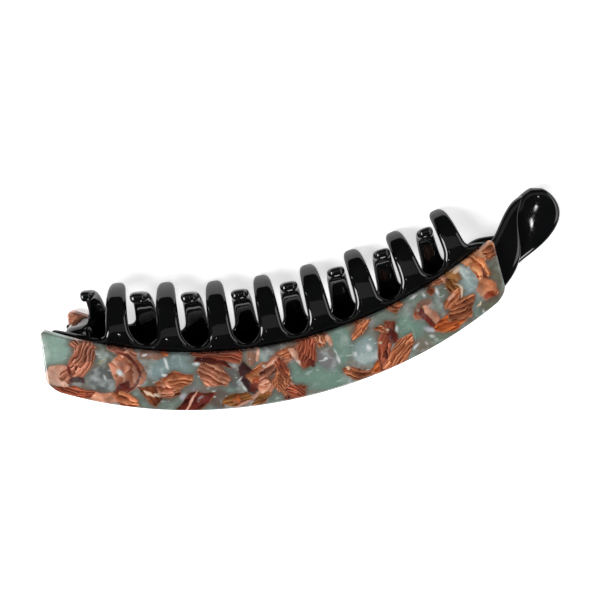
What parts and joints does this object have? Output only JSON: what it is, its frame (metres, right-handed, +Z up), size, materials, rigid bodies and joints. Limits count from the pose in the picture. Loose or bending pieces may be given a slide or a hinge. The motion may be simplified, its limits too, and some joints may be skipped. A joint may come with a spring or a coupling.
{
  "type": "banana hair clip",
  "caption": "Long curved hair clip: hinged toothed combs under crescent plates, with teeth that interlock over gathered hair and flat tails that snap together at the free end.",
  "frame": {"origin": "on the lower plate's outer flat face, by the middle of its length and width; the closed clip lies on this face", "axes": "+X along the clip from the hinge to the tails, +Y from the rounded edge to the hooked teeth, +Z up, across the closed clip from the lower half to the upper half"},
  "size_m": [0.1427, 0.0438, 0.0193],
  "materials": {
    "black_plastic": "very glossy black moulded plastic",
    "mottled_acetate": "polished mottled acetate, pale green with copper and pink chips",
    "pin_steel": "plain steel wire"
  },
  "bodies": {
    "lower_half": {"comb_lower": "black_plastic", "plate_lower": "mottled_acetate", "hinge_pin": "pin_steel"},
    "upper_half": {"comb_upper": "black_plastic", "plate_upper": "mottled_acetate"}
  },
  "joints": [
    {"name": "hinge", "type": "hinge", "parent": "lower_half", "child": "upper_half", "pos_m": [-0.0566, 0, 0.00938], "axis": [0, -1, 0], "range_deg": [0, 75]}
  ]
}
